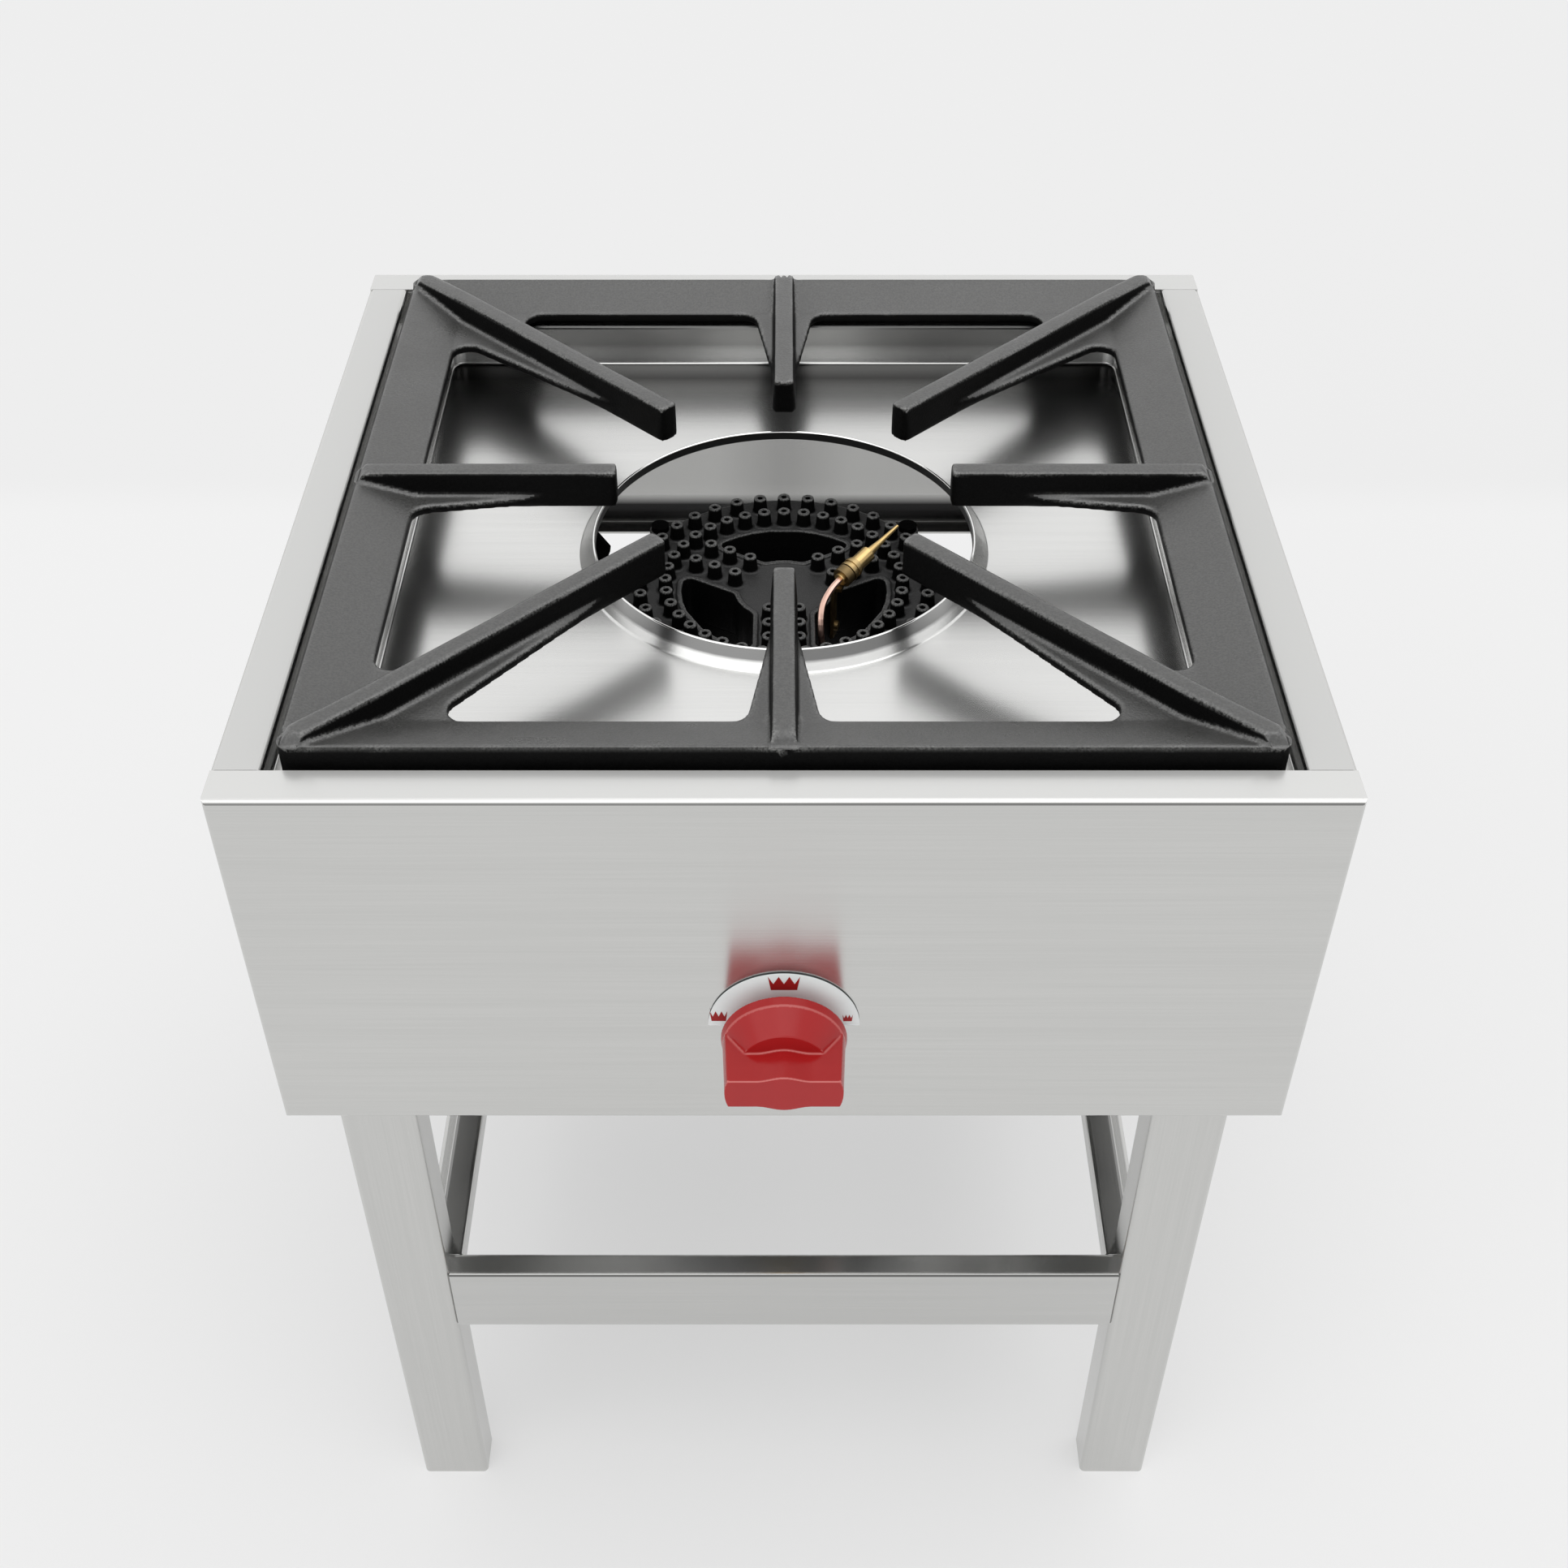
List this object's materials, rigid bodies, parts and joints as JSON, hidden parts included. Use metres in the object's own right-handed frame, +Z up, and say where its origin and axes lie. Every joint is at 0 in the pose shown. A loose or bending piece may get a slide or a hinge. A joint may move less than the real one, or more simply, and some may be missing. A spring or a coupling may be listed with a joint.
{
  "type": "gas stove",
  "caption": "Free-standing gas stove on four tube legs: steel casing, lift-out drip tray, cast pan grate, cast multi-jet burner and a push-and-turn knob.",
  "frame": {"origin": "on the floor, under the middle of the casing", "axes": "+Z up, -Y towards the cook at the knob side, +X to the cook's right"},
  "size_m": [0.5, 0.566, 0.614],
  "materials": {
    "casing_steel": "horizontally brushed stainless sheet",
    "leg_steel": "brushed stainless tube and channel",
    "plug_plastic": "moulded black plastic",
    "tray_steel": "bright brushed stainless sheet",
    "grate_iron": "black enamelled sand casting",
    "burner_iron": "black sand casting",
    "black_steel": "heat-proof black paint",
    "zinc_steel": "zinc-plated steel",
    "tap_brass": "machined brass",
    "probe_brass": "turned brass, a little tarnished",
    "feed_aluminium": "drawn tube",
    "copper": "bare drawn copper tube",
    "knob_plastic": "moulded red plastic",
    "dial_white": "white enamel"
  },
  "bodies": {
    "root": {"front_panel": "casing_steel", "rear_panel": "casing_steel", "left_side_panel": "casing_steel", "right_side_panel": "casing_steel", "front_left_leg": "leg_steel", "front_right_leg": "leg_steel", "rear_left_leg": "leg_steel", "rear_right_leg": "leg_steel", "leg_plugs": "plug_plastic", "leg_spacers": "leg_steel", "front_stretcher": "leg_steel", "rear_stretcher": "leg_steel", "left_stretcher": "leg_steel", "right_stretcher": "leg_steel", "burner_head": "burner_iron", "burner_bowl": "burner_iron", "burner_screws": "zinc_steel", "front_support_bar": "black_steel", "rear_support_bar": "black_steel", "support_bolts": "zinc_steel", "mixer_tube": "burner_iron", "injector": "tap_brass", "feed_tube": "feed_aluminium", "tap_body": "tap_brass", "tap_nut": "zinc_steel", "dial_plate": "dial_white", "supply_pipe": "zinc_steel", "supply_nut": "tap_brass", "gas_inlet": "tap_brass", "inlet_locknut": "tap_brass", "thermocouple_probe": "probe_brass", "thermocouple_nut": "probe_brass", "thermocouple_clip": "black_steel", "thermocouple_tube": "copper", "thermocouple_tail": "tap_brass"},
    "tray": {"drip_tray": "tray_steel"},
    "grate": {"pan_grate": "grate_iron"},
    "shutter": {"air_shutter": "zinc_steel"},
    "push_rod": {"tap_push_rod": "zinc_steel"},
    "knob": {"tap_spindle": "zinc_steel", "control_knob": "knob_plastic"}
  },
  "joints": [
    {"name": "tray_lift", "type": "slide", "parent": "root", "child": "tray", "axis": [0, 0, 1], "range_m": [0, 0.12]},
    {"name": "grate_lift", "type": "slide", "parent": "tray", "child": "grate", "axis": [0, 0, 1], "range_m": [0, 0.15]},
    {"name": "shutter_turn", "type": "hinge", "parent": "root", "child": "shutter", "pos_m": [0, -0.0983, 0.457], "axis": [0, 1, 0], "range_deg": [-40, 40]},
    {"name": "knob_push", "type": "slide", "parent": "root", "child": "push_rod", "axis": [0, 1, 0], "range_m": [0, 0.005], "stiffness_N_per_m": 900, "springref_m": -0.004},
    {"name": "knob_turn", "type": "hinge", "parent": "push_rod", "child": "knob", "pos_m": [0, -0.27, 0.457], "axis": [0, -1, 0], "range_deg": [0, 180]}
  ]
}
